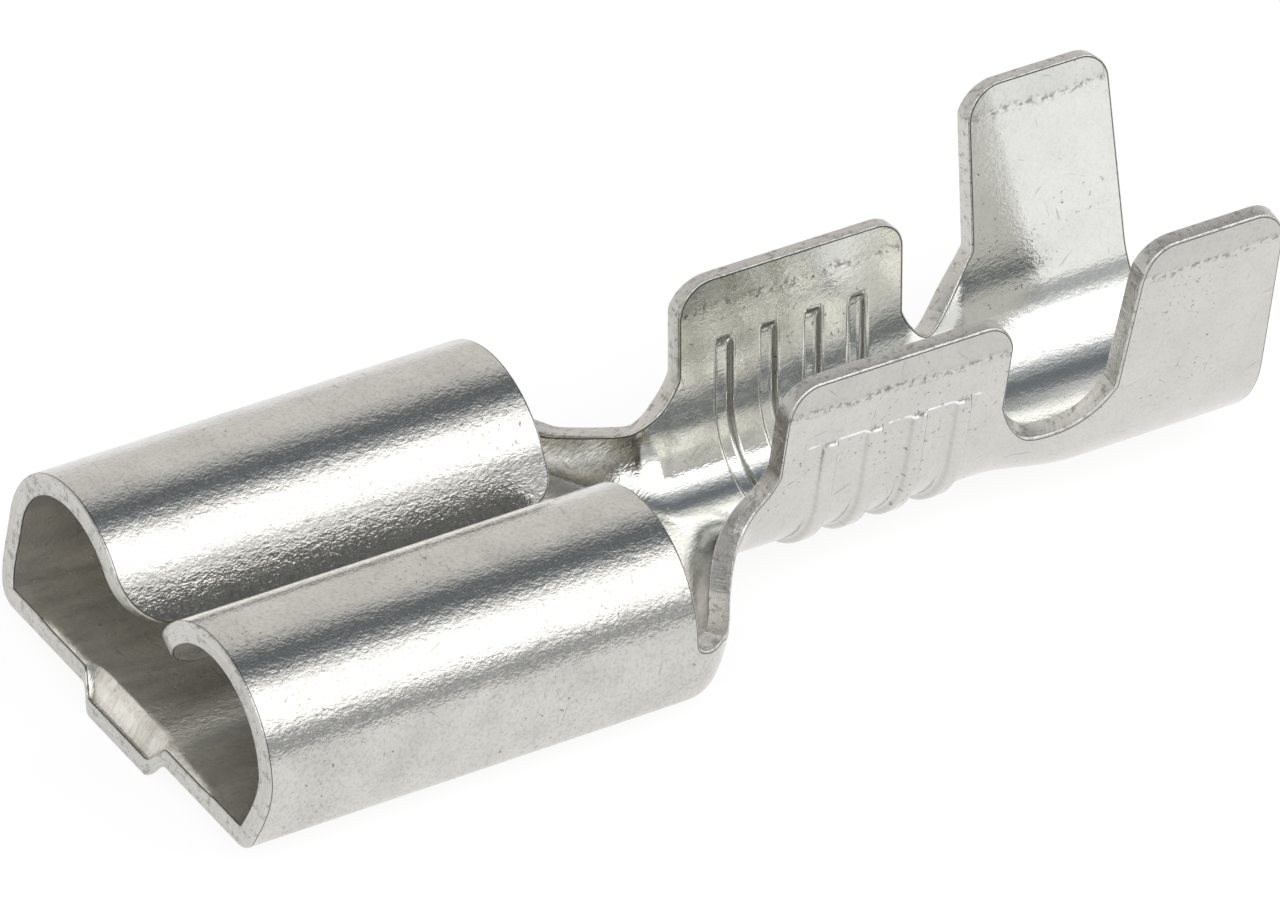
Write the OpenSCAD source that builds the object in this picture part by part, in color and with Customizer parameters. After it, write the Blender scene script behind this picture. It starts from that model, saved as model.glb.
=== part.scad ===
// Female spade terminal, uninsulated, stamped and folded from one sheet.
//
// The whole part is one formed blank. A point of the flat blank has two
// coordinates: s across it, from the centre line, and y along it, from the mouth.
// A section curve says where each s lies at a given y, the outline says how far
// the blank reaches, and both skins stand half a sheet from that middle surface.

/* [Tab and sheet] */
// Width of the flat tab that the receptacle takes
tab_w = 6.3; // [4.8:0.1:8.0]
// Thickness of that tab
tab_t = 0.8; // [0.6:0.05:1.0]
// Thickness of the sheet
sheet_t = 0.35; // [0.28:0.01:0.4]

/* [Receptacle] */
// Room beside the tab, up to each bottom bend
tab_side_clear = 0.16; // [0.1:0.02:0.5]
// Room between the tab and the curled edges
tab_top_clear = 0.03; // [0:0.01:0.2]
// Length of the curled lobes, from the mouth to their back edge
receptacle_len = 7.68; // [6.5:0.1:9.0]
// Distance that the lobes' front edge stands back from the floor's
mouth_setback = 0.2; // [0:0.05:0.5]
// Inner radius of the two bottom bends
bend_r = 0.05; // [0.03:0.01:0.15]
// Angle of the bottom bends, in degrees
bend_angle = 67; // [60:1:75]
// Radius of the lower side wall, to the middle of the sheet
wall_r = 2.0; // [1.7:0.1:3.0]
// Slope of the sheet where the wall passes into the curl, in degrees
wall_angle = 98; // [92:1:105]
// Radius of the curl, to the middle of the sheet
curl_r = 1.57; // [1.4:0.05:1.7]
// Slope of the sheet at the end of the curl, in degrees
curl_angle = 240; // [230:1:245]
// Corner radius of each curled edge at the mouth
mouth_corner_r = 1.05; // [0.4:0.05:1.2]
// Corner radius of each curled edge at the back
back_corner_r = 0.5; // [0.1:0.05:0.6]
// Width of the lip pressed down at the mouth
lip_w = 1.7; // [1.2:0.05:2.4]
// Width over which each side of the lip passes into the floor
lip_side = 0.25; // [0.1:0.05:0.4]
// Length of that lip
lip_len = 0.3; // [0.2:0.05:0.8]
// Depth of that lip
lip_drop = 0.35; // [0.1:0.05:0.5]
// Distance that the lip stands in front of the floor's edge
lip_out = 0.12; // [0:0.02:0.2]
// Length of the lead-in coined along the floor's front edge
lead_len = 0.24; // [0.1:0.02:0.4]
// Depth of that lead-in
lead_depth = 0.12; // [0.04:0.02:0.16]
// Distance from the lead-in's ends to the bottom bends
lead_inset = 0.7; // [0.3:0.1:1.2]

/* [Shoulder] */
// Length over which the floor closes to the wire barrel
shoulder_len = 2.5; // [2.0:0.1:3.5]
// Height of wall left standing behind the lobes
shoulder_wall = 0.7; // [0.5:0.05:0.9]
// Distance from the lobes to the shoulder's edge
shoulder_gap = 0.44; // [0.3:0.02:0.6]
// Slope of the shoulder's edge in the flat blank
shoulder_slope = 0.58; // [0.45:0.01:0.65]
// Width of the blank at its two necks
neck_w = 4.06; // [3.6:0.02:4.2]
// Length of the round at the first neck, on the shoulder's side
neck_round = 0.4; // [0.2:0.05:0.6]

/* [Wire barrel] */
// Inner radius of the wire barrel
wire_r = 1.185; // [1.1:0.01:1.3]
// Slope of the wire barrel's ears, in degrees
wire_angle = 84; // [76:1:88]
// Height of the ears above the underside of the floor
wire_h = 3.62; // [3.2:0.02:4.2]
// Length of the ears
wire_len = 4.1; // [3.6:0.1:5.0]
// Flare at the foot of the ears' front edge
wire_flare = 0.68; // [0.5:0.02:0.9]
// Height of that flare, measured up the blank
wire_flare_w = 0.66; // [0.5:0.02:1.0]
// Corner radius of the ears, at the front
wire_front_r = 0.6; // [0.2:0.05:0.7]
// Corner radius of the ears, at the back
wire_back_r = 0.5; // [0.2:0.05:0.6]
// Number of serrations
serrations = 4; // [2:1:4]
// Distance from one serration to the next
serration_pitch = 0.81; // [0.6:0.01:0.85]
// Width of a serration
serration_w = 0.36; // [0.24:0.01:0.45]
// Depth of a serration
serration_depth = 0.12; // [0.05:0.01:0.18]
// Height of the serrations' ends above the underside of the floor
serration_h = 2.4; // [2.0:0.05:2.7]
// Drop of the wire barrel below the floor
wire_drop = 0.08; // [0:0.02:0.2]

/* [Insulation barrel] */
// Distance between the two pairs of ears
ear_gap = 1.66; // [1.5:0.01:2.2]
// Inner radius of the insulation barrel
ins_r = 1.755; // [1.6:0.01:2.0]
// Slope of the insulation barrel's ears, in degrees
ins_angle = 80; // [72:1:86]
// Height of the ears above the underside of the floor
ins_h = 4.9; // [4.4:0.05:5.6]
// Length of the ears at their tips
ins_len = 2.59; // [2.2:0.01:3.2]
// Slope of the ears' back edge in the flat blank
ins_back_slope = 0.08; // [0:0.01:0.12]
// Height of the flare at the foot of the ears' front edge
ins_flare_h = 1.25; // [0.9:0.05:1.5]
// Corner radius of the ears, at the front
ins_front_r = 0.6; // [0.2:0.05:0.8]
// Corner radius of the ears, at the back
ins_back_r = 0.5; // [0.2:0.05:0.8]
// Drop of the insulation barrel below the floor
ins_drop = 0.18; // [0:0.02:0.3]

/* [Ear tips] */
// Length of the coined bevel below each ear's tip
coin_len = 0.45; // [0.3:0.05:0.6]
// Depth of that bevel
coin_depth = 0.1; // [0.04:0.01:0.14]

/* [Hidden] */

half_t = sheet_t / 2;
deg = PI / 180;

// Receptacle: developed lengths of its section's runs
floor_half = tab_w / 2 + tab_side_clear;
bend_len = (bend_r + half_t) * bend_angle * deg;
wall_len = wall_r * (wall_angle - bend_angle) * deg;
curl_len = curl_r * (curl_angle - wall_angle) * deg;
tab_gap = tab_t + tab_top_clear;

// Places along the part, from the mouth
shoulder_y = receptacle_len + 0.02;
neck_half = neck_w / 2;
slit_s = floor_half + bend_len + shoulder_wall;
slit_run = 0.4;
slit_foot = slit_s - slit_run / 4;
neck_y = receptacle_len + shoulder_gap + shoulder_slope * (slit_s - neck_half) + neck_round;
wire_y = neck_y + wire_flare;
wire_end = wire_y + wire_len;
notch_y = wire_end + 0.3 * ear_gap;
ins_y = wire_end + ear_gap;
ins_tip_end = ins_y + ins_len;

// Folding from the wire barrel's section to the insulation barrel's
step_y = wire_end;
step_len = ear_gap - 0.1;

// Rounds at the two necks: their widths, and the share of a true round in each
neck_round_w = 0.75;
notch_w = 0.6;
neck_roundness = 0.55;
wire_roundness = 0.6;
notch_roundness = 0.6;
ins_roundness = 0.3;

// Stations that the rows keep across the ears, clear of their rounded corners
wire_fix = wire_y + wire_front_r + 0.05;
wire_fix_end = wire_end - wire_back_r - 0.05;
ins_fix = ins_y + ins_front_r + 0.2;
ins_fix_end = ins_tip_end - ins_back_r - 0.4;
lobe_fix = mouth_setback + mouth_corner_r + 0.4;
lobe_fix_end = receptacle_len - 1.2;

// Lead-in
lead_fade = 0.4;
lead_half = floor_half - lead_inset - lead_fade;

// Serrations
serration_ramp = 0.08;
serration_mid = wire_y + wire_len / 2;
serration_y = [for (i = [0 : serrations - 1])
    serration_mid + (i - (serrations - 1) / 2) * serration_pitch];

function lerp(a, b, u) = a + (b - a) * u;
function unit(u) = min(1, max(0, u));
function ease(u) = (1 - cos(180 * unit(u))) / 2;
function sorted(v) = len(v) < 2 ? v : let (p = v[0])
    concat(sorted([for (x = v) if (x < p) x]), [p], sorted([for (x = v) if (x > p) x]));
// The values between two ends, in order, without any that lie too close to the next
function thinned(v, gap) =
    [for (i = [0 : len(v) - 1]) if (i == len(v) - 1 || v[i + 1] - v[i] > gap) v[i]];
function stations(v, low, high, gap = 0.012) =
    concat([low], thinned(sorted([for (x = v) if (x > low + gap && x < high - gap) x]), gap), [high]);

// A section is a list of runs [length, turn in degrees], from the centre outwards
function section(y) =
    let (b = ease((y - shoulder_y) / shoulder_len),
         c = ease((y - step_y) / step_len),
         r = lerp(lerp(bend_r, wire_r, b), ins_r, c) + half_t,
         turn = lerp(lerp(bend_angle, wire_angle, b), ins_angle, c))
    [[lerp(floor_half, 0, b), 0],
     [r * turn * deg, turn],
     [wall_len, (wall_angle - bend_angle) * (1 - b)],
     [curl_len, (curl_angle - wall_angle) * (1 - b)],
     [2 * curl_len, 0]];

// One step along a run: at is [x, z, slope]
function bend(at, go, turn) =
    abs(turn) < 0.0001
        ? [at.x + go * cos(at.z), at.y + go * sin(at.z), at.z]
        : let (r = go / (turn * deg))
          [at.x + r * (sin(at.z + turn) - sin(at.z)),
           at.y + r * (cos(at.z) - cos(at.z + turn)), at.z + turn];
function walk(runs, s, i = 0, at = [0, 0, 0]) =
    (s <= 0 || i == len(runs)) ? at
        : let (run = runs[i], go = min(s, run[0]))
          walk(runs, s - go, i + 1, run[0] > 0 ? bend(at, go, run[1] * go / run[0]) : at);

// Height of the sheet's middle over the ground, at the centre line
function base_z(y) = lip_drop + half_t
    - lerp(wire_drop * ease((y - shoulder_y) / shoulder_len), ins_drop, ease((y - step_y) / step_len));

// Developed distance of a height on an ear, from the centre line
function ear_s(h, r, angle) =
    let (mid_r = r + half_t, foot = half_t + mid_r * (1 - cos(angle)))
    mid_r * angle * deg + (h - foot) / sin(angle);

wire_tip = ear_s(wire_h + wire_drop - half_t * cos(wire_angle), wire_r, wire_angle);
serration_s = ear_s(serration_h + wire_drop, wire_r, wire_angle);
ins_tip = ear_s(ins_h + ins_drop - half_t * cos(ins_angle), ins_r, ins_angle);

// The curl ends where its inner corner stands one tab above the floor
curl_foot = walk(section(0), floor_half + bend_len + wall_len + curl_len);
curl_tip = floor_half + bend_len + wall_len + curl_len
    + (curl_foot.y - half_t * abs(cos(curl_angle)) - half_t - tab_gap) / abs(sin(curl_angle));

// Outline of the blank. A foot falls from 1 to 0, with a rounded start.
function foot(u, round) =
    let (v = unit(u)) lerp(1 - v, 1 - sqrt(max(0, v * (2 - v))), round);
function corner(s, tip, r) =
    let (d = unit((s - tip + r) / r)) r * (1 - sqrt(max(0, 1 - d * d)));

function lip_share(s) = 1 - ease((s - lip_w / 2) / lip_side);
function lip_front(s) = -lip_out * lip_share(s);
function lobe_front(s) =
    mouth_setback * ease((s - floor_half) / (wall_len + bend_len)) + corner(s, curl_tip, mouth_corner_r);
function shoulder_edge(s) =
    receptacle_len + shoulder_gap + shoulder_slope * (slit_s - s)
    + neck_round * foot((s - neck_half) / neck_round_w, neck_roundness);
function lobe_back(s) =
    lerp(shoulder_edge(s), receptacle_len, ease((s - slit_foot) / slit_run))
    - corner(s, curl_tip, back_corner_r);
function wire_front(s) =
    wire_y - wire_flare * foot((s - neck_half) / wire_flare_w, wire_roundness)
    + corner(s, wire_tip, wire_front_r);
function wire_back(s) =
    wire_end + (notch_y - wire_end) * foot((s - neck_half) / notch_w, notch_roundness)
    - corner(s, wire_tip, wire_back_r);
function ins_front(s) =
    ins_y - (ins_y - notch_y) * foot((s - neck_half) / ins_flare_h, ins_roundness)
    + corner(s, ins_tip, ins_front_r);
function ins_back(s) =
    ins_tip_end + ins_back_slope * (ins_tip - s) - corner(s, ins_tip, ins_back_r);

part_len = ins_back(0);
part_mid = (part_len - lip_out) / 2;

// Pressed detail: how far a spot is pushed outwards
function serration_at(y) =
    max([for (m = serration_y) unit((serration_w / 2 - abs(y - m)) / serration_ramp)]);
function pressed(s, y) =
    lip_drop * lip_share(s) * pow(1 - unit(y / lip_len), 2)
    + serration_depth * serration_at(y) * unit((serration_s - s) / serration_ramp + 1);
// How much the sheet is thinned from the outside at the ears' tips, and from the
// inside along the floor's front edge
function coined(s, y) =
    y < neck_y ? 0 : coin_depth * unit(1 + (s - (y < notch_y ? wire_tip : ins_tip)) / coin_len);
function led_in(s, y) =
    lead_depth * (1 - unit(y / lead_len)) * (1 - unit((s - lead_half) / lead_fade));

// A point on a skin of the sheet: side is 1 for the outside and -1 for the inside
function middle(s, y) = let (p = walk(section(y), s)) [p.x, y, base_z(y) + p.y];
function skin(s, y, side) =
    let (d = abs(s), e = 0.01,
         slope = walk(section(y), d).z,
         along = middle(d, y + e) - middle(d, y - e),
         out = cross(along, [cos(slope), 0, sin(slope)]),
         push = side * half_t + pressed(d, y) + (side > 0 ? -coined(d, y) : led_in(d, y)),
         p = middle(d, y) + out / norm(out) * push)
    [sign(s) * p.x, p.y - part_mid, p.z];

// A patch of the blank: rows of [s, y], turned into a closed skin of triangles.
// Free edges get a wall; a wall is listed by its run of grid places.
function flat(lists) = [for (l = lists) each l];
function patch_points(grid) =
    flat([for (side = [1, -1]) for (row = grid) [for (q = row) skin(q[0], q[1], side)]]);
function quad(a, b, c, d) = [[a, b, c], [a, c, d]];
function patch_faces(rows, cols, first, flip) =
    let (n = rows * cols,
         raw = flat([for (i = [0 : rows - 2], j = [0 : cols - 2])
             let (a = i * cols + j, b = a + 1, c = b + cols, d = a + cols)
             concat(quad(a, b, c, d), quad(n + a, n + d, n + c, n + b))]))
    [for (f = raw) flip ? [f[2] + first, f[1] + first, f[0] + first] : f + [first, first, first]];
function wall_faces(run, n, first, flip) =
    let (raw = flat([for (k = [0 : len(run) - 2])
             quad(run[k], run[k] + n, run[k + 1] + n, run[k + 1])]))
    [for (f = raw) flip ? [f[2] + first, f[1] + first, f[0] + first] : f + [first, first, first]];

// Stations across the blank
spine_s = stations([0.25 * lip_w, lip_w / 2, lip_w / 2 + lip_side / 2, lip_w / 2 + lip_side,
    0.7 * neck_half, 0.85 * neck_half], 0, neck_half);
near_neck = [0.03, 0.12, 0.3, 0.6, 1];
lobe_s = stations(concat(
    [for (u = near_neck) neck_half + u * neck_round_w],
    [lead_half, lead_half + lead_fade],
    [for (i = [0 : 2]) floor_half + i * bend_len / 3],
    [floor_half - 0.3, floor_half + bend_len, floor_half + bend_len + 0.3],
    [for (i = [0 : 4]) slit_foot + i * slit_run / 4],
    let (from = slit_foot + slit_run, to = curl_tip - mouth_corner_r)
        [for (i = [1 : 11]) lerp(from, to, i / 11)],
    [for (a = [20, 40, 60, 75]) curl_tip - mouth_corner_r * (1 - sin(a))]),
    neck_half, curl_tip);
wire_s = stations(concat(
    [for (u = near_neck) neck_half + u * wire_flare_w],
    [serration_s, serration_s + serration_ramp, wire_tip - coin_len],
    [for (a = [25, 50, 70]) wire_tip - wire_front_r * (1 - sin(a))]),
    neck_half, wire_tip);
ins_s = stations(concat(
    [for (u = near_neck) neck_half + u * ins_flare_h],
    [(ins_r + half_t) * ins_angle * deg, ins_tip - coin_len],
    [for (a = [25, 50, 70]) ins_tip - ins_front_r * (1 - sin(a))]),
    neck_half, ins_tip);

// Stations along the blank, in three lengths that meet at the two necks
lobe_y = stations(concat([for (i = [1 : 3]) i * lip_len / 3], [lead_len],
    [lobe_fix, lobe_fix_end, receptacle_len - 0.4],
    [for (i = [0 : 7]) shoulder_y + i * 0.28]), 0, neck_y);
wire_stations = stations(concat([for (i = [1 : 3]) lerp(neck_y, wire_y, i / 3)],
    [wire_fix],
    [for (m = serration_y, d = [-1, 1], r = [0, serration_ramp]) m + d * (serration_w / 2 - r)],
    [wire_fix_end, wire_end, wire_end + 0.25]), neck_y, notch_y);
ins_stations = stations(concat([for (i = [1 : 4]) lerp(notch_y, ins_y, i / 4)],
    [ins_fix, ins_fix_end, ins_tip_end]), notch_y, part_len);

// Rows keep their place on the spine and between the two fixed stations, and
// follow the outline outside them
function follow(s, y, low, fix_a, fix_b, high, edge_a, edge_b) =
    s <= neck_half ? spine_row(s, y)
    : y < fix_a ? lerp(edge_a, fix_a, (y - low) / (fix_a - low))
    : y > fix_b ? lerp(fix_b, edge_b, (y - fix_b) / (high - fix_b)) : y;

function spine_row(s, y) =
    y < lip_len ? lerp(lip_front(s), lip_len, y / lip_len)
    : y <= ins_fix_end ? y
    : lerp(ins_fix_end, ins_back(s), (y - ins_fix_end) / (part_len - ins_fix_end));

module formed_sheet() {
    spine_half = len(spine_s) - 1;
    spine_cols = [for (j = [-spine_half : spine_half]) sign(j) * spine_s[abs(j)]];
    spine_rows = concat(lobe_y, [for (i = [1 : len(wire_stations) - 1]) wire_stations[i]],
        [for (i = [1 : len(ins_stations) - 1]) ins_stations[i]]);
    // The floor's front edge follows the lip, and its back edge leans with the ears'
    spine = [for (y = spine_rows) [for (s = spine_cols) [s, spine_row(abs(s), y)]]];
    lobe = [for (y = lobe_y) [for (s = lobe_s)
        [s, follow(s, y, 0, lobe_fix, lobe_fix_end, neck_y, lobe_front(s), lobe_back(s))]]];
    wire = [for (y = wire_stations) [for (s = wire_s)
        [s, follow(s, y, neck_y, wire_fix, wire_fix_end, notch_y, wire_front(s), wire_back(s))]]];
    ins = [for (y = ins_stations) [for (s = ins_s)
        [s, follow(s, y, notch_y, ins_fix, ins_fix_end, part_len, ins_front(s), ins_back(s))]]];
    mirrored = function (grid) [for (row = grid) [for (q = row) [-q[0], q[1]]]];

    grids = [spine, lobe, wire, ins, mirrored(lobe), mirrored(wire), mirrored(ins)];
    sizes = [for (g = grids) 2 * len(g) * len(g[0])];
    starts = [for (k = 0, sum = 0; k < len(grids); sum = sum + sizes[k], k = k + 1) sum];
    points = flat([for (g = grids) patch_points(g)]);
    faces = flat([for (k = [0 : len(grids) - 1])
        let (g = grids[k], rows = len(g), cols = len(g[0]), n = rows * cols, flip = k > 3,
             front = [for (j = [0 : cols - 1]) j],
             back = [for (j = [0 : cols - 1]) n - 1 - j],
             side = [for (i = [0 : rows - 1]) i * cols + cols - 1])
        concat(patch_faces(rows, cols, starts[k], flip),
            wall_faces(front, n, starts[k], flip),
            wall_faces(back, n, starts[k], flip),
            k == 0 ? [] : wall_faces(side, n, starts[k], flip))]);
    polyhedron(points, faces, convexity = 12);
}

module terminal() {
    color("silver")
        formed_sheet();
}

terminal();
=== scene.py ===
"""A female spade terminal: one sheet, cut flat, pressed, folded and tin plated.

The flat blank comes first. Its mesh has x across the strip, y along it from the mouth and
z through the sheet, in millimetres. A Geometry Nodes tree then presses the serrations and
the lip, coins the ears' tips, folds every section and leaves the part in metres, where the
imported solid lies.
"""

import logging
import math
from dataclasses import dataclass
from enum import Enum
from typing import Any, Optional, Union

import bpy
import numpy as np
from mathutils import Matrix, Vector
from mathutils.geometry import delaunay_2d_cdt


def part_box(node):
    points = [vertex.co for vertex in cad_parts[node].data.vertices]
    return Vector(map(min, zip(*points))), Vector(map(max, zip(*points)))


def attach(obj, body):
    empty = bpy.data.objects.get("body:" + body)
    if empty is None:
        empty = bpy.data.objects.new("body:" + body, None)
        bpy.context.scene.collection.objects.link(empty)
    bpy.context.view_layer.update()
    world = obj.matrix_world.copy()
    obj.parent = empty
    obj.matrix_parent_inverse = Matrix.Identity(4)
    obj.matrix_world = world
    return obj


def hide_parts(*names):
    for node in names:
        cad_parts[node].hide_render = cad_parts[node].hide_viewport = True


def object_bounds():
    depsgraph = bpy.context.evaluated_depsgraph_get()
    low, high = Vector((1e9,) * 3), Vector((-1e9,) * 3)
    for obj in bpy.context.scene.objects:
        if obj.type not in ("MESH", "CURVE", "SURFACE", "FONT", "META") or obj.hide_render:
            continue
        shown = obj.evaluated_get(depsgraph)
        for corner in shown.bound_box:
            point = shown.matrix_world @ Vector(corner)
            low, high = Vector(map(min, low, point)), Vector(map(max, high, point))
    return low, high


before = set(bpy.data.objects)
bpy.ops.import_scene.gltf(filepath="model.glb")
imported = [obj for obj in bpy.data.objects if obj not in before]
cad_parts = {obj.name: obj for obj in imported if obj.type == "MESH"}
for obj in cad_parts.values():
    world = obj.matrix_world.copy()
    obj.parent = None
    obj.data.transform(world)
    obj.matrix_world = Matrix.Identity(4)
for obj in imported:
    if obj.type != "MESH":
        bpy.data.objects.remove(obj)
CAD_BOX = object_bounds()

LOG = logging.getLogger("terminal")
MM = 0.001
SAME_SPOT = 1e-9

Number = Union[float, "Value"]
Feed = Union[float, "Value", bpy.types.NodeSocket, bpy.types.Material, tuple, str, bool]
Colour = tuple[float, float, float, float]

WHITE: Colour = (1.0, 1.0, 1.0, 1.0)


class Mixing(Enum):
    """Ways to mix two colours."""

    PLAIN = "MIX"
    MULTIPLY = "MULTIPLY"


# ---------------------------------------------------------------- node writing


class Wiring:
    """Adds nodes to one tree, for shaders and for Geometry Nodes alike."""

    def __init__(self, tree: bpy.types.NodeTree) -> None:
        """Keeps the tree.

        Args:
            tree: The tree that every node goes into.
        """
        self.tree = tree

    def add(
        self,
        kind: str,
        settings: Optional[dict[str, Any]] = None,
        sockets: Optional[dict[Union[int, str], Feed]] = None,
    ) -> bpy.types.Node:
        """Adds a node.

        Args:
            kind: The node's type.
            settings: Its properties. "stops" holds a ramp's [place, colour] pairs.
            sockets: Values or links, by the input's name or number.

        Returns:
            The new node.
        """
        node = self.tree.nodes.new(kind)
        for name, setting in (settings or {}).items():
            if name == "stops":
                self._set_stops(node.color_ramp, setting)
            else:
                setattr(node, name, setting)
        for key, given in (sockets or {}).items():
            self.feed(node.inputs[key], given)
        return node

    def feed(self, socket: bpy.types.NodeSocket, given: Feed) -> None:
        """Links a value to a socket, or sets the socket's own value.

        Args:
            socket: The input.
            given: A link or a constant.
        """
        if isinstance(given, Value):
            self.tree.links.new(given.socket, socket)
        elif isinstance(given, bpy.types.NodeSocket):
            self.tree.links.new(given, socket)
        else:
            socket.default_value = given

    def maths(self, operation: str, *terms: Number) -> "Value":
        """Adds a Math node.

        Args:
            operation: The node's operation.
            *terms: Its inputs, in order.

        Returns:
            The node's result.
        """
        node = self.add("ShaderNodeMath", {"operation": operation}, dict(enumerate(terms)))
        return Value(self, node.outputs[0])

    def vector(self, x: Number, y: Number, z: Number) -> bpy.types.NodeSocket:
        """Joins three numbers to a vector."""
        return self.add("ShaderNodeCombineXYZ", None, {0: x, 1: y, 2: z}).outputs[0]

    def parts(self, vector: bpy.types.NodeSocket) -> list["Value"]:
        """Splits a vector into its three numbers."""
        node = self.add("ShaderNodeSeparateXYZ", None, {0: vector})
        return [Value(self, socket) for socket in node.outputs]

    def mix_colours(
        self, share: Number, first: Feed, second: Feed, way: Mixing = Mixing.PLAIN
    ) -> bpy.types.NodeSocket:
        """Mixes two colours.

        Args:
            share: How much of the second shows.
            first: The colour at share 0.
            second: The colour at share 1.
            way: How they are mixed.

        Returns:
            The mixed colour.
        """
        settings = {"data_type": "RGBA", "blend_type": way.value}
        return self.add("ShaderNodeMix", settings, {0: share, 6: first, 7: second}).outputs[2]

    @staticmethod
    def _set_stops(ramp: bpy.types.ColorRamp, stops: list[tuple[float, tuple]]) -> None:
        """Gives a colour ramp its stops, as pairs of place and colour.

        Args:
            ramp: The ramp.
            stops: Pairs of place and colour, from low to high.
        """
        while len(ramp.elements) < len(stops):
            ramp.elements.new(1.0)
        for element, (place, colour) in zip(ramp.elements, stops):
            element.position = place
            element.color = colour


class Value:
    """A number on a node's socket, written with Python's operators."""

    def __init__(self, wiring: Wiring, socket: bpy.types.NodeSocket) -> None:
        """Keeps the socket and the wiring that adds nodes after it.

        Args:
            wiring: The tree's wiring.
            socket: The output that carries the number.
        """
        self.wiring = wiring
        self.socket = socket

    def __add__(self, other: Number) -> "Value":
        """Sum."""
        return self.wiring.maths("ADD", self, other)

    def __radd__(self, other: float) -> "Value":
        """Sum, number first."""
        return self.wiring.maths("ADD", other, self)

    def __sub__(self, other: Number) -> "Value":
        """Difference."""
        return self.wiring.maths("SUBTRACT", self, other)

    def __rsub__(self, other: float) -> "Value":
        """Difference, number first."""
        return self.wiring.maths("SUBTRACT", other, self)

    def __mul__(self, other: Number) -> "Value":
        """Product."""
        return self.wiring.maths("MULTIPLY", self, other)

    def __rmul__(self, other: float) -> "Value":
        """Product, number first."""
        return self.wiring.maths("MULTIPLY", other, self)

    def __truediv__(self, other: Number) -> "Value":
        """Quotient."""
        return self.wiring.maths("DIVIDE", self, other)

    def __rtruediv__(self, other: float) -> "Value":
        """Quotient, number first."""
        return self.wiring.maths("DIVIDE", other, self)

    def __neg__(self) -> "Value":
        """The value with its sign changed."""
        return self.wiring.maths("MULTIPLY", self, -1.0)

    def __abs__(self) -> "Value":
        """The value without its sign."""
        return self.wiring.maths("ABSOLUTE", self)

    def at_least(self, low: Number) -> "Value":
        """The larger of this and low."""
        return self.wiring.maths("MAXIMUM", self, low)

    def at_most(self, high: Number) -> "Value":
        """The smaller of this and high."""
        return self.wiring.maths("MINIMUM", self, high)

    def unit(self) -> "Value":
        """The value held between 0 and 1."""
        return self.at_least(0.0).at_most(1.0)

    def ease(self) -> "Value":
        """A smooth step: 0 up to 0, 1 from 1 on."""
        return (1.0 - (self.unit() * math.pi).cos()) * 0.5

    def sin(self) -> "Value":
        """Sine, from radians."""
        return self.wiring.maths("SINE", self)

    def cos(self) -> "Value":
        """Cosine, from radians."""
        return self.wiring.maths("COSINE", self)

    def rounded(self) -> "Value":
        """The nearest whole number."""
        return self.wiring.maths("ROUND", self)

    def over(self, limit: Number) -> "Value":
        """1 where this is over the limit, or else 0."""
        return self.wiring.maths("GREATER_THAN", self, limit)

    def sign(self) -> "Value":
        """-1, 0 or 1."""
        return self.wiring.maths("SIGN", self)

    def power(self, exponent: float) -> "Value":
        """The value to that power."""
        return self.wiring.maths("POWER", self, exponent)


# ---------------------------------------------------------------- plain curves


def ease(u: np.ndarray) -> np.ndarray:
    """A smooth step: 0 up to 0, 1 from 1 on."""
    return (1 - np.cos(np.pi * np.clip(u, 0, 1))) / 2


def blend(a: Any, b: Any, u: Any) -> Any:
    """From a at 0 to b at 1."""
    return a + (b - a) * u


def foot(u: np.ndarray, roundness: float) -> np.ndarray:
    """Falls from 1 to 0, and starts as a round to the share that roundness gives."""
    v = np.clip(u, 0, 1)
    return blend(1 - v, 1 - np.sqrt(v * (2 - v)), roundness)


def corner(s: np.ndarray, tip: float, radius: float) -> np.ndarray:
    """How far a round corner of that radius stands back, for an edge that ends at tip."""
    d = np.clip((s - tip + radius) / radius, 0, 1)
    return radius * (1 - np.sqrt(1 - d * d))


def spread(low: float, high: float, count: int) -> np.ndarray:
    """Places from low to high that crowd towards both ends."""
    return blend(low, high, ease(np.linspace(0, 1, count)))


def steps(low: float, high: float, step: float) -> np.ndarray:
    """Even places from low up to high, without high, no further apart than step."""
    count = max(1, math.ceil((high - low) / step))
    return np.linspace(low, high, count, endpoint=False)


# ---------------------------------------------------------------- sizes


@dataclass(frozen=True)
class Sheet:
    """The strip that the part is stamped from.

    Attributes:
        thickness: Thickness of the plated sheet.
        roll_over: Radius where the punch enters.
        burr: Radius on the other side.
    """

    thickness: float = 0.35
    roll_over: float = 0.045
    burr: float = 0.028

    @property
    def half(self) -> float:
        """Half the thickness."""
        return self.thickness / 2


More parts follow.
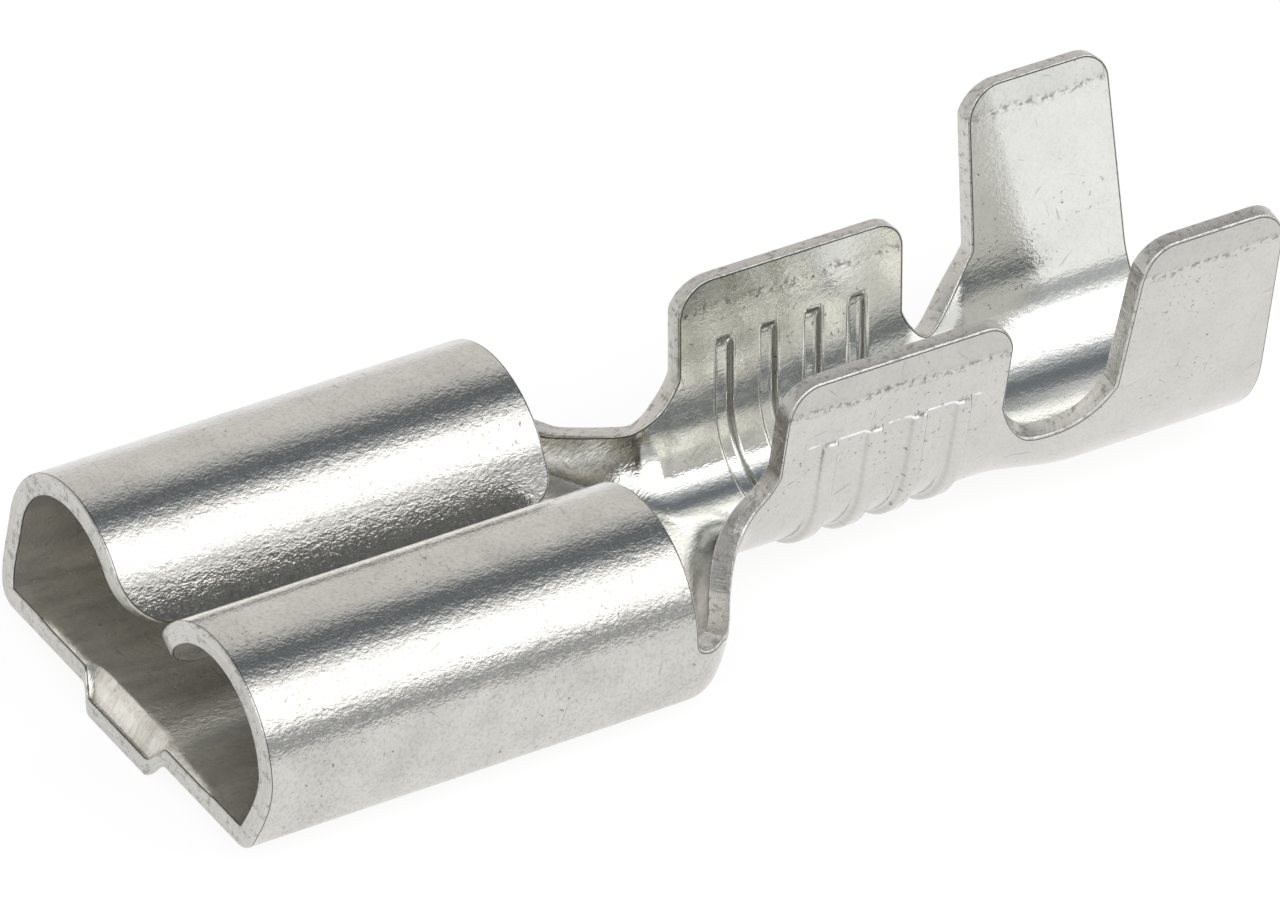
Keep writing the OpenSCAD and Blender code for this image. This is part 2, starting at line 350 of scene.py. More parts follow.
@dataclass(frozen=True)
class Receptacle:
    """The floor and the two curled lobes that take the tab.

    Attributes:
        floor_half: Half the flat floor's width.
        length: Length of the lobes.
        setback: How far the lobes' front edge stands behind the floor's.
        bend_radius: Inner radius of the bottom bends.
        bend_angle: Turn of the bottom bends, in degrees.
        wall_radius: Radius of the lower side wall.
        wall_angle: Slope where the wall passes into the curl, in degrees.
        curl_radius: Radius of the curl.
        curl_angle: Slope where the curl ends, in degrees.
        tab_gap: Height between the floor and the curled edge.
        front_corner: Corner radius at the mouth.
        back_corner: Corner radius at the back.
        lip_width: Width of the lip pressed down at the mouth.
        lip_side: Width over which each side of the lip passes into the floor.
        lip_length: Length of the lip.
        lip_drop: Depth of the lip.
        lip_out: How far the lip stands in front of the floor's edge.
        lead_length: Length of the lead-in coined along the floor's front edge.
        lead_depth: Depth of the lead-in.
        lead_inset: Distance from the lead-in's ends to the bottom bends.
        lead_fade: Width over which each of its ends fades.
    """

    floor_half: float = 3.31
    length: float = 7.68
    setback: float = 0.2
    bend_radius: float = 0.05
    bend_angle: float = 67.0
    wall_radius: float = 2.0
    wall_angle: float = 98.0
    curl_radius: float = 1.57
    curl_angle: float = 240.0
    tab_gap: float = 0.83
    front_corner: float = 1.05
    back_corner: float = 0.5
    lip_width: float = 1.6
    lip_side: float = 0.42
    lip_length: float = 0.25
    lip_drop: float = 0.35
    lip_out: float = 0.12
    lead_length: float = 0.11
    lead_depth: float = 0.05
    lead_inset: float = 0.7
    lead_fade: float = 0.4

    @property
    def wall_length(self) -> float:
        """Length of the side wall's arc."""
        return self.wall_radius * math.radians(self.wall_angle - self.bend_angle)

    @property
    def curl_length(self) -> float:
        """Length of the curl's arc, before its straight end."""
        return self.curl_radius * math.radians(self.curl_angle - self.wall_angle)

    def bend_length(self, sheet: Sheet) -> float:
        """Length of a bottom bend's arc, at the middle of the sheet."""
        return (self.bend_radius + sheet.half) * math.radians(self.bend_angle)

    def tip(self, sheet: Sheet) -> float:
        """Flat distance of the curled edge from the centre line.

        Args:
            sheet: The strip.

        Returns:
            The distance.
        """
        angles = (0.0, self.bend_angle, self.wall_angle, self.curl_angle)
        slopes = [math.cos(math.radians(a)) for a in angles]
        radii = (self.bend_radius + sheet.half, self.wall_radius, self.curl_radius)
        height = sum(r * (a - b) for r, a, b in zip(radii, slopes, slopes[1:]))
        spare = height - sheet.half * (1 + abs(slopes[3])) - self.tab_gap
        straight = spare / abs(math.sin(math.radians(self.curl_angle)))
        return self.floor_half + self.bend_length(sheet) + self.wall_length + self.curl_length + straight

    def front(self, s: np.ndarray, sheet: Sheet) -> np.ndarray:
        """The front edge: its distance from the mouth at each s.

        Args:
            s: Flat distances from the centre line.
            sheet: The strip.

        Returns:
            The distance at each s.
        """
        rise = ease((s - self.floor_half) / (self.wall_length + self.bend_length(sheet)))
        lip = self.lip_out * (1 - ease((s - self.lip_width / 2) / self.lip_side))
        return self.setback * rise - lip + corner(s, self.tip(sheet), self.front_corner)


@dataclass(frozen=True)
class Shoulder:
    """The funnel between the floor and the wire barrel.

    Attributes:
        start: Distance from the lobes' back edge to the start of the fold.
        length: Length over which the section changes.
        wall: Height of wall left standing behind the lobes.
        gap: Distance from the lobes to the shoulder's edge.
        slope: Slope of that edge in the flat blank.
        slit: Length over which the edge passes to the lobes.
        neck_half: Half the blank's width at its two necks.
        round_length: Length of the round at the neck.
        round_width: Width of that round.
        roundness: Share of a true round in it.
    """

    start: float = 0.02
    length: float = 2.5
    wall: float = 0.7
    gap: float = 0.44
    slope: float = 0.58
    slit: float = 0.4
    neck_half: float = 2.03
    round_length: float = 0.4
    round_width: float = 0.75
    roundness: float = 0.55


@dataclass(frozen=True)
class Barrel:
    """A pair of ears.

    Attributes:
        radius: Inner radius.
        angle: Slope of the ears, in degrees.
        height: Height of the ears over the underside of the barrel.
        length: Length of the ears at their tips.
        flare: Length of the flare at the foot of their front edge.
        flare_width: Width of that flare.
        roundness: Share of a true round in the flare.
        front_corner: Corner radius at the front.
        back_corner: Corner radius at the back.
        drop: How far the barrel lies below the floor.
        back_slope: Slope of the back edge in the flat blank.
    """

    radius: float
    angle: float
    height: float
    length: float
    flare: float
    flare_width: float
    roundness: float
    front_corner: float
    back_corner: float
    drop: float = 0.0
    back_slope: float = 0.0

    def tip(self, sheet: Sheet) -> float:
        """Flat distance of the ears' tips from the centre line.

        Args:
            sheet: The strip.

        Returns:
            The distance.
        """
        turn = math.radians(self.angle)
        top = self.height + self.drop - sheet.half * math.cos(turn)
        return self.flat_distance(top, sheet)

    def flat_distance(self, height: float, sheet: Sheet) -> float:
        """Flat distance from the centre line of a spot at that height.

        Args:
            height: Height over the underside.
            sheet: The strip.

        Returns:
            The distance in the flat blank.
        """
        turn = math.radians(self.angle)
        middle = self.radius + sheet.half
        bottom = sheet.half + middle * (1 - math.cos(turn))
        return middle * turn + (height - bottom) / math.sin(turn)


@dataclass(frozen=True)
class Serrations:
    """The cross grooves pressed into the wire barrel.

    Attributes:
        count: Number of grooves.
        pitch: Distance from one to the next.
        width: Width of a groove.
        depth: Depth of a groove.
        top: Height of the grooves' ends.
        ramp: Width of a groove's slanted sides.
    """

    count: int = 4
    pitch: float = 0.81
    width: float = 0.36
    depth: float = 0.12
    top: float = 2.4
    ramp: float = 0.09


@dataclass(frozen=True)
class Coining:
    """The bevel pressed along the ears' tips.

    Attributes:
        length: Length of the bevel.
        depth: How much thinner the sheet is at the tip.
    """

    length: float = 0.45
    depth: float = 0.1


# ---------------------------------------------------------------- the blank


@dataclass(frozen=True)
class Mesh:
    """A mesh in plain lists.

    Attributes:
        points: One row of x, y and z for each vertex.
        faces: Vertex numbers of each face.
        edge: For each vertex, 1 on a sheared edge and 0 on the sheet's faces.
    """

    points: np.ndarray
    faces: list[tuple[int, ...]]
    edge: np.ndarray


@dataclass(frozen=True)
class Spacing:
    """Greatest distance between the points on the blank's faces, in millimetres.

    Attributes:
        floor: Across the flat floor.
        bend: Across the bottom bends.
        wall: Across the walls and the curls.
        mouth: Along the lip and the lead-in.
        lobes: Along the lobes.
        funnel: Along the shoulder.
        teeth: Along the serrations.
        ears: Along the rest.
        spare: How far the finer parts reach past the bends, the lip and the lobes' end.
    """

    floor: float = 0.1
    bend: float = 0.034
    wall: float = 0.085
    mouth: float = 0.04
    lobes: float = 0.14
    funnel: float = 0.09
    teeth: float = 0.03
    ears: float = 0.095
    spare: float = 0.08


@dataclass(frozen=True)
class Blank:
    """The flat blank: its outline and its mesh.

    Attributes:
        sheet: The strip.
        receptacle: Sizes of the mouth's end.
        shoulder: Sizes of the funnel.
        wire: Sizes of the wire barrel.
        insulation: Sizes of the insulation barrel.
        serrations: Sizes of the grooves in the wire barrel.
        spacing: Distances between the points on its faces.
        ear_gap: Distance between the two pairs of ears.
        notch_width: Width of the round between them.
        notch_roundness: Share of a true round in it.
        shear_turns: Angles of the points on the round of a sheared edge, in degrees.
        rim_step: Distance from point to point along the outline.
        support: Distance from the rim's round to the ring that holds the face flat.
        clearance: Least distance from that ring to the points of the face.
    """

    sheet: Sheet = Sheet()
    receptacle: Receptacle = Receptacle()
    shoulder: Shoulder = Shoulder()
    wire: Barrel = Barrel(
        radius=1.185, angle=84.0, height=3.62, length=4.1, flare=0.68, flare_width=0.66,
        roundness=0.6, front_corner=0.6, back_corner=0.5, drop=0.08,
    )
    insulation: Barrel = Barrel(
        radius=1.755, angle=80.0, height=4.9, length=2.59, flare=1.162, flare_width=1.25,
        roundness=0.3, front_corner=0.6, back_corner=0.5, drop=0.18, back_slope=0.08,
    )
    serrations: Serrations = Serrations()
    spacing: Spacing = Spacing()
    ear_gap: float = 1.66
    notch_width: float = 0.6
    notch_roundness: float = 0.6
    shear_turns: tuple[float, ...] = (25.0, 50.0, 72.0, 90.0)
    rim_step: float = 0.055
    support: float = 0.02
    clearance: float = 0.045

    @property
    def slit_s(self) -> float:
        """Flat distance of the shoulder's edge where it meets the lobes."""
        return self.receptacle.floor_half + self.receptacle.bend_length(self.sheet) + self.shoulder.wall

    @property
    def neck_y(self) -> float:
        """Place of the first neck."""
        rise = self.shoulder.slope * (self.slit_s - self.shoulder.neck_half)
        return self.receptacle.length + self.shoulder.gap + rise + self.shoulder.round_length

    @property
    def wire_y(self) -> float:
        """Place of the wire ears' front edge."""
        return self.neck_y + self.wire.flare

    @property
    def wire_end(self) -> float:
        """Place of the wire ears' back edge."""
        return self.wire_y + self.wire.length

    @property
    def notch_y(self) -> float:
        """Place of the second neck."""
        return self.wire_end + self.ear_gap - self.insulation.flare

    @property
    def ins_y(self) -> float:
        """Place of the insulation ears' front edge."""
        return self.wire_end + self.ear_gap

    @property
    def length(self) -> float:
        """Length of the whole part."""
        return float(self.ins_back(np.array([0.0]))[0])

    def lobe_back(self, s: np.ndarray) -> np.ndarray:
        """The shoulder's edge, and from the slit on the lobes' back edge.

        Args:
            s: Flat distances from the centre line.

        Returns:
            The distance from the mouth at each s.
        """
        arm = self.shoulder
        slant = self.receptacle.length + arm.gap + arm.slope * (self.slit_s - s)
        slant = slant + arm.round_length * foot((s - arm.neck_half) / arm.round_width, arm.roundness)
        share = ease((s - self.slit_s + arm.slit / 4) / arm.slit)
        back = blend(slant, self.receptacle.length, share)
        return back - corner(s, self.receptacle.tip(self.sheet), self.receptacle.back_corner)

    def lobe_front(self, s: np.ndarray) -> np.ndarray:
        """The front edge of the floor and the lobes."""
        return self.receptacle.front(s, self.sheet)

    def wire_front(self, s: np.ndarray) -> np.ndarray:
        """The wire ears' front edge.

        Args:
            s: Flat distances from the centre line.

        Returns:
            The distance from the mouth at each s.
        """
        ear = self.wire
        flare = ear.flare * foot((s - self.shoulder.neck_half) / ear.flare_width, ear.roundness)
        return self.wire_y - flare + corner(s, ear.tip(self.sheet), ear.front_corner)

    def wire_back(self, s: np.ndarray) -> np.ndarray:
        """The wire ears' back edge.

        Args:
            s: Flat distances from the centre line.

        Returns:
            The distance from the mouth at each s.
        """
        u = (s - self.shoulder.neck_half) / self.notch_width
        notch = (self.notch_y - self.wire_end) * foot(u, self.notch_roundness)
        return self.wire_end + notch - corner(s, self.wire.tip(self.sheet), self.wire.back_corner)

    def ins_front(self, s: np.ndarray) -> np.ndarray:
        """The insulation ears' front edge.

        Args:
            s: Flat distances from the centre line.

        Returns:
            The distance from the mouth at each s.
        """
        ear = self.insulation
        flare = ear.flare * foot((s - self.shoulder.neck_half) / ear.flare_width, ear.roundness)
        return self.ins_y - flare + corner(s, ear.tip(self.sheet), ear.front_corner)

    def ins_back(self, s: np.ndarray) -> np.ndarray:
        """The back edge of the insulation barrel.

        Args:
            s: Flat distances from the centre line.

        Returns:
            The distance from the mouth at each s.
        """
        ear = self.insulation
        tip = ear.tip(self.sheet)
        return self.ins_y + ear.length + ear.back_slope * (tip - s) - corner(s, tip, ear.back_corner)

    def outline(self) -> np.ndarray:
        """The closed outline, as evenly spaced points in order.

        Returns:
            One row of s and y for each point.
        """
        neck = self.shoulder.neck_half
        tips = [part.tip(self.sheet) for part in (self.receptacle, self.wire, self.insulation)]
        samples = 500
        stretches = [
            (self.lobe_front, 0.0, tips[0]), (self.lobe_back, tips[0], neck),
            (self.wire_front, neck, tips[1]), (self.wire_back, tips[1], neck),
            (self.ins_front, neck, tips[2]), (self.ins_back, tips[2], 0.0),
        ]
        half = []
        for edge, low, high in stretches:
            s = spread(low, high, samples)
            half.append(np.column_stack([s, edge(s)]))
        path = np.vstack(half)
        far = np.concatenate([[0], np.cumsum(np.hypot(*np.diff(path, axis=0).T))])
        even = np.linspace(0, far[-1], math.ceil(far[-1] / self.rim_step) + 1)
        keep = np.concatenate([[True], np.diff(far) > SAME_SPOT])
        side = np.column_stack([np.interp(even, far[keep], path[keep, k]) for k in (0, 1)])
        return np.vstack([side, side[-2:0:-1] * (-1, 1)])

    def inside(self, s: np.ndarray, y: np.ndarray) -> np.ndarray:
        """Tells which places lie inside the outline.

        Args:
            s: Places across the blank.
            y: Places along it.

        Returns:
            True for each place inside.
        """
        t = np.abs(s)
        neck = self.shoulder.neck_half
        spine = (t <= neck) & (y > self.lobe_front(t)) & (y < self.ins_back(t))
        found = spine
        for part, front, back in (
            (self.receptacle, self.lobe_front, self.lobe_back),
            (self.wire, self.wire_front, self.wire_back),
            (self.insulation, self.ins_front, self.ins_back),
        ):
            found = found | ((t > neck) & (t < part.tip(self.sheet)) & (y > front(t)) & (y < back(t)))
        return found

    def stations(self) -> tuple[np.ndarray, np.ndarray]:
        """Places across and along the blank where its faces have points.

        Returns:
            The places across, and those along.
        """
        r, step = self.receptacle, self.spacing
        bend_end = r.floor_half + r.bend_length(self.sheet)
        across = np.concatenate([
            steps(0.0, r.floor_half - step.spare, step.floor),
            steps(r.floor_half - step.spare, bend_end + step.spare, step.bend),
            steps(bend_end + step.spare, r.tip(self.sheet), step.wall),
        ])
        span = self.serrations.count * self.serrations.pitch / 2
        middle = self.wire_y + self.wire.length / 2
        along = np.concatenate([
            steps(-r.lip_out, r.lip_length + step.spare, step.mouth),
            steps(r.lip_length + step.spare, r.length - step.spare, step.lobes),
            steps(r.length - step.spare, middle - span, step.funnel),
            steps(middle - span, middle + span, step.teeth),
            steps(middle + span, self.length, step.ears),
        ])
        return np.concatenate([-across[:0:-1], across]), along

    def face_points(self, outline: np.ndarray, reach: float) -> np.ndarray:
        """Points inside the outline that stand clear of it.

        Args:
            outline: The closed outline.
            reach: Least distance from the outline.

        Returns:
            One row of s and y for each point.
        """
        across, along = self.stations()
        s, y = (grid.ravel() for grid in np.meshgrid(across, along))
        held = self.inside(s, y)
        points = np.column_stack([s[held], y[held]])
        clear = np.ones(len(points), bool)
        block = 4000
        for start in range(0, len(points), block):
            part = points[start:start + block]
            off = part[:, None, :] - outline[None, :, :]
            gap = np.hypot(off[..., 0], off[..., 1])
            clear[start:start + block] = gap.min(axis=1) > reach
        return points[clear]

    def mesh(self) -> Mesh:
        """Builds the flat blank with rounded, sheared edges.

        Returns:
            The mesh, with the sheet lying flat at z 0.
        """
        outline = self.outline()
        count = len(outline)
        ahead = np.roll(outline, -1, axis=0) - np.roll(outline, 1, axis=0)
        inward = np.column_stack([-ahead[:, 1], ahead[:, 0]]) / np.hypot(*ahead.T)[:, None]
        sheet = self.sheet
        ring = outline + inward * sheet.roll_over
        second = ring + inward * self.support
        face = self.face_points(outline, sheet.roll_over + self.support + self.clearance)

        flat = [Vector(p) for p in np.vstack([ring, second, face])]
        loop = [(i, (i + 1) % count) for i in range(count)]
        keep_inside, nearness = 1, 1e-7
        found = delaunay_2d_cdt(flat, loop, [], keep_inside, nearness)
        spots, triangles, origin = np.array(found[0]), found[2], found[3]
        place = {old: new for new, olds in enumerate(origin) for old in olds}
        rim = [place[i] for i in range(count)]

        total = len(spots)
        top = np.column_stack([spots, np.full(total, sheet.half)])
        bottom = np.column_stack([spots, np.full(total, -sheet.half)])
        faces = [tuple(t) for t in triangles]
        faces += [tuple(i + total for i in reversed(t)) for t in triangles]

        rows = [np.array(rim)]
        rings = []
        for back, height in self.shear_profile():
            rings.append(np.column_stack([outline + inward * back, np.full(count, height)]))
            rows.append(2 * total + (len(rings) - 1) * count + np.arange(count))
        rows.append(np.array(rim) + total)
        for upper, lower in zip(rows, rows[1:]):
            for i in range(count):
                j = (i + 1) % count
                faces.append((int(upper[j]), int(upper[i]), int(lower[i]), int(lower[j])))
        points = np.vstack([top, bottom, *rings])
        edge = np.concatenate([np.zeros(2 * total), np.ones(len(rings) * count)])
        return Mesh(points, faces, edge)

    def shear_profile(self) -> list[tuple[float, float]]:
        """Section of a sheared edge: how far each ring stands back, and its height.

        Returns:
            Pairs of distance and height, from the top face down.
        """
        sheet = self.sheet
        turns = [math.radians(a) for a in self.shear_turns]
        upper = [
            (sheet.burr * (1 - math.sin(a)), sheet.half - sheet.burr * (1 - math.cos(a)))
            for a in turns
        ]
        lower = [
            (sheet.roll_over * (1 - math.sin(a)), -sheet.half + sheet.roll_over * (1 - math.cos(a)))
            for a in reversed(turns)
        ]
        return upper + lower


# ---------------------------------------------------------------- press and fold


@dataclass(frozen=True)
class Press:
    """The Geometry Nodes tree that presses, coins and folds the blank.

    Attributes:
        blank: The blank with all its sizes.
        coining: Sizes of the ears' bevels.
        mouth: Place of the mouth along Y, in millimetres.
        ground: Height of the lip's underside, in millimetres.
        step_inset: How much shorter the step between the barrels is than their gap.
        probe: Half the distance over which the sheet's slope along Y is measured.
    """

    blank: Blank
    coining: Coining
    mouth: float
    ground: float
    step_inset: float = 0.1
    probe: float = 0.02

    def sizes(self) -> dict[str, float]:
        """The tree's inputs, by name, in millimetres and radians.

        Returns:
            Each input with its value.
        """
        b = self.blank
        r, wire, ins, teeth = b.receptacle, b.wire, b.insulation, b.serrations
        return {
            "Half thickness": b.sheet.half,
            "Floor half width": r.floor_half,
            "Bend radius": r.bend_radius + b.sheet.half,
            "Bend turn": math.radians(r.bend_angle),
            "Wall length": r.wall_length,
            "Wall radius": r.wall_radius,
            "Curl length": r.curl_length,
            "Curl radius": r.curl_radius,
            "Shoulder start": r.length + b.shoulder.start,
            "Shoulder length": b.shoulder.length,
            "Wire radius": wire.radius + b.sheet.half,
            "Wire turn": math.radians(wire.angle),
            "Insulation radius": ins.radius + b.sheet.half,
            "Insulation turn": math.radians(ins.angle),
            "Step start": b.wire_end,
            "Step length": b.ear_gap - self.step_inset,
            "Wire drop": wire.drop,
            "Insulation drop": ins.drop,
            "Lip width": r.lip_width,
            "Lip side": r.lip_side,
            "Lip length": r.lip_length,
            "Lip drop": r.lip_drop,
            "Lead length": r.lead_length,
            "Lead depth": r.lead_depth,
            "Lead half width": r.floor_half - r.lead_inset - r.lead_fade,
            "Lead fade": r.lead_fade,
            "Serration count": float(teeth.count),
            "Serration pitch": teeth.pitch,
            "Serration width": teeth.width,
            "Serration depth": teeth.depth,
            "Serration ramp": teeth.ramp,
            "Serration centre": b.wire_y + wire.length / 2,
            "Serration reach": wire.flat_distance(teeth.top + wire.drop, b.sheet),
            "Coin length": self.coining.length,
            "Coin depth": self.coining.depth,
            "First neck": b.neck_y,
            "Second neck": b.notch_y,
            "Wire tip": wire.tip(b.sheet),
            "Insulation tip": ins.tip(b.sheet),
            "Mouth": self.mouth,
            "Ground": self.ground,
        }

    @staticmethod
    def section(size: dict[str, Value], s: Value, y: Value) -> tuple[Value, Value, Value]:
        """Lays a spot of the sheet's middle on the folded section.

        Args:
            size: The tree's inputs.
            s: Flat distance from the centre line.
            y: Distance from the mouth.

        Returns:
            Its distance from the centre plane, its height and the sheet's slope there.
        """
        least_turn = 0.0001
        to_wire = ((y - size["Shoulder start"]) / size["Shoulder length"]).ease()
        to_insulation = ((y - size["Step start"]) / size["Step length"]).ease()
        kept = 1.0 - to_wire
        radius = blend(blend(size["Bend radius"], size["Wire radius"], to_wire),
                       size["Insulation radius"], to_insulation)
        turn = blend(blend(size["Bend turn"], size["Wire turn"], to_wire),
                     size["Insulation turn"], to_insulation)
        flat = size["Floor half width"] * kept
        x = s.at_most(flat)
        z = -blend(size["Wire drop"] * to_wire, size["Insulation drop"], to_insulation)
        slope = x * 0.0
        rest = (s - flat).at_least(0.0)
        for length, curvature in (
            (radius * turn, 1.0 / radius),
            (size["Wall length"], kept / size["Wall radius"]),
            (size["Curl length"], kept / size["Curl radius"]),
        ):
            go = rest.at_most(length)
            half_turn = go * curvature * 0.5 + least_turn
            chord = go * half_turn.sin() / half_turn
            heading = slope + half_turn
            x = x + chord * heading.cos()
            z = z + chord * heading.sin()
            slope = slope + go * curvature
            rest = rest - go
        return x + rest * slope.cos(), z + rest * slope.sin(), slope

    @staticmethod
    def groove(size: dict[str, Value], s: Value, y: Value) -> Value:
        """Depth of the serrations at a spot.

        Args:
            size: The tree's inputs.
            s: Flat distance from the centre line.
            y: Distance from the mouth.

        Returns:
            The depth.
        """
        last = size["Serration count"] - 1.0
        first = size["Serration centre"] - last * size["Serration pitch"] * 0.5
        number = ((y - first) / size["Serration pitch"]).rounded().at_least(0.0).at_most(last)
        off = abs(y - first - number * size["Serration pitch"])
        across = ((size["Serration width"] * 0.5 - off) / size["Serration ramp"]).ease()
        along = ((size["Serration reach"] - s) / size["Serration ramp"] + 1.0).ease()
        return size["Serration depth"] * across * along

    @staticmethod
    def lip(size: dict[str, Value], s: Value, y: Value) -> Value:
        """How far the mouth's lip is pressed down at a spot.

        Args:
            size: The tree's inputs.
            s: Flat distance from the centre line.
            y: Distance from the mouth.

        Returns:
            The distance.
        """
        aside = ((s - size["Lip width"] * 0.5) / size["Lip side"]).ease()
        ahead = 1.0 - (y / size["Lip length"]).unit()
        return size["Lip drop"] * (1.0 - aside) * ahead * ahead

    @staticmethod
    def lead_in(size: dict[str, Value], s: Value, y: Value) -> Value:
        """How far the inside of the floor's front edge is pressed out at a spot.

        Args:
            size: The tree's inputs.
            s: Flat distance from the centre line.
            y: Distance from the mouth.

        Returns:
            The distance.
        """
        aside = ((s - size["Lead half width"]) / size["Lead fade"]).unit()
        ahead = 1.0 - (y / size["Lead length"]).unit()
        return size["Lead depth"] * (1.0 - aside) * ahead

    @staticmethod
    def coin(size: dict[str, Value], s: Value, y: Value) -> Value:
        """How far the outside of an ear's tip is pressed in at a spot.

        Args:
            size: The tree's inputs.
            s: Flat distance from the centre line.
            y: Distance from the mouth.

        Returns:
            The distance.
        """
        tip = blend(size["Wire tip"], size["Insulation tip"], y.over(size["Second neck"]))
        share = ((s - tip) / size["Coin length"] + 1.0).unit()
        return size["Coin depth"] * share * y.over(size["First neck"])

    def tree(self) -> tuple[bpy.types.NodeTree, dict[str, str]]:
        """Builds the tree.

        Returns:
            The tree, and its sockets' identifiers by name.
        """
        tree = bpy.data.node_groups.new("press and fold", "GeometryNodeTree")
        face = tree.interface
        face.new_socket(name="Geometry", in_out="INPUT", socket_type="NodeSocketGeometry")
        kinds = {name: "NodeSocketFloat" for name in self.sizes()} | {"Finish": "NodeSocketMaterial"}
        names = {
            name: face.new_socket(name=name, in_out="INPUT", socket_type=kind).identifier
            for name, kind in kinds.items()
        }
        face.new_socket(name="Geometry", in_out="OUTPUT", socket_type="NodeSocketGeometry")

        wiring = Wiring(tree)
        given = wiring.add("NodeGroupInput")
        size = {name: Value(wiring, given.outputs[name]) for name in self.sizes()}
        spot = wiring.add("GeometryNodeInputPosition").outputs[0]
        across, y, depth = wiring.parts(spot)
        s = abs(across)

        x, z, slope = self.section(size, s, y)
        x_back, z_back, _ = self.section(size, s, y - self.probe)
        x_ahead, z_ahead, _ = self.section(size, s, y + self.probe)
        span = 2 * self.probe
        lean = ((z_ahead - z_back) * slope.cos() - (x_ahead - x_back) * slope.sin()) / span
        long = (lean * lean + 1.0).power(0.5)

        half = size["Half thickness"]
        height = depth + self.coin(size, s, y) * (half - depth) / (half * 2.0)
        height = height - self.lead_in(size, s, y) * (half + depth) / (half * 2.0)
        height = (height - self.groove(size, s, y) - self.lip(size, s, y)) / long
        folded = wiring.vector(
            (x - slope.sin() * height) * across.sign() * MM,
            (y - lean * height + size["Mouth"]) * MM,
            (z + slope.cos() * height + half + size["Lip drop"] + size["Ground"]) * MM,
        )
        kept = wiring.add(
            "GeometryNodeStoreNamedAttribute",
            {"data_type": "FLOAT_VECTOR", "domain": "POINT"},
            {"Geometry": given.outputs["Geometry"], "Name": "blank", "Value": spot},
        )
        bent = {"Geometry": kept.outputs[0], "Position": folded}
        moved = wiring.add("GeometryNodeSetPosition", None, bent)
        smooth = wiring.add("GeometryNodeSetShadeSmooth", None, {"Geometry": moved.outputs[0]})
        real = wiring.add("GeometryNodeRealizeInstances", None, {"Geometry": smooth.outputs[0]})
        dressed = wiring.add(
            "GeometryNodeSetMaterial",
            None,
            {"Geometry": real.outputs[0], "Material": given.outputs["Finish"]},
        )
        wiring.add("NodeGroupOutput", None, {0: dressed.outputs[0]})
        return tree, names

    def fold(self, flat: bpy.types.Object, finish: bpy.types.Material) -> bpy.types.Object:
        """Runs the tree on the blank.

        Args:
            flat: The blank's object.
            finish: The material that the tree sets.

        Returns:
            The same object, with the folded sheet as its plain mesh.
        """
        tree, names = self.tree()
        modifier = flat.modifiers.new("press and fold", "NODES")
        modifier.node_group = tree
        for name, size in self.sizes().items():
            modifier[names[name]] = size
        modifier[names["Finish"]] = finish
        graph = bpy.context.evaluated_depsgraph_get()
        folded = bpy.data.meshes.new_from_object(flat.evaluated_get(graph), depsgraph=graph)
        flat.modifiers.remove(modifier)
        flat.data = folded
        return flat


# ---------------------------------------------------------------- finish


class Place:
    """Where the plate is looked at: a spot of the flat blank, with the press's sizes."""

    def __init__(self, wiring: Wiring, press: Press) -> None:
        """Reads the sheet's own attributes.

        Args:
            wiring: The material's wiring.
            press: The press, whose sizes tell where its marks lie.
        """
        self.wiring = wiring
        self.size = press.sizes()
        self.blank = press.blank
        spot = wiring.add("ShaderNodeAttribute", {"attribute_name": "blank"}).outputs["Vector"]
        edge = wiring.add("ShaderNodeAttribute", {"attribute_name": "edge"}).outputs["Fac"]
        self.s, self.y, self.through = wiring.parts(spot)
        self.edge = Value(wiring, edge)
        self.inner = self.through.over(0.0) * (1.0 - self.edge)
        self.outer = (1.0 - self.inner) * (1.0 - self.edge)
        self.past_neck = self.y.over(self.size["First neck"])
        self.past_notch = self.y.over(self.size["Second neck"])

    def below_tip(self) -> Value:
        """Distance below the ear's tip, in millimetres, which is made large on the receptacle.

        Returns:
            The distance.
        """
        off_ears = 10.0
        tip = blend(self.size["Wire tip"], self.size["Insulation tip"], self.past_notch)
        return tip - abs(self.s) + (1.0 - self.past_neck) * off_ears


@dataclass(frozen=True)
class Noise:
    """Fractal noise in the flat blank.

    Attributes:
        scale: Patches per millimetre.
        detail: Number of octaves.
        rough: Weight of each finer octave.
        stretch: How much closer the patches lie across, along and through the sheet.
    """

    scale: float
    detail: float
    rough: float
    stretch: tuple[float, float, float] = (1.0, 1.0, 12.0)

    def read(self, here: Place) -> Value:
        """Adds the noise, which lies around 0.5."""
        across, along, through = self.stretch
        return self.at(here.wiring, here.s * across, here.y * along, here.through * through)

    def at(self, wiring: Wiring, x: Value, y: Value, z: Value) -> Value:
        """Adds the noise at a place of its own.

        Args:
            wiring: The material's wiring.
            x: The place's first number.
            y: Its second.
            z: Its third.

        Returns:
            The noise, around 0.5.
        """
        spot = wiring.vector(x, y, z)
        sockets = {"Vector": spot, "Scale": self.scale, "Detail": self.detail, "Roughness": self.rough}
        return Value(wiring, wiring.add("ShaderNodeTexNoise", None, sockets).outputs[0])


@dataclass(frozen=True)
class Marks:
    """Marks that show where a noise is strong.

    Attributes:
        noise: The noise.
        start: Its level where the marks start.
        gain: How steeply they reach full strength from there.
    """

    noise: Noise
    start: float
    gain: float

    def read(self, here: Place) -> Value:
        """1 on a mark, 0 off the marks."""
        return self.strength(self.noise.read(here))

    def strength(self, level: Value) -> Value:
        """Turns the noise's level into the mark's strength."""
        return ((level - self.start) * self.gain).unit()


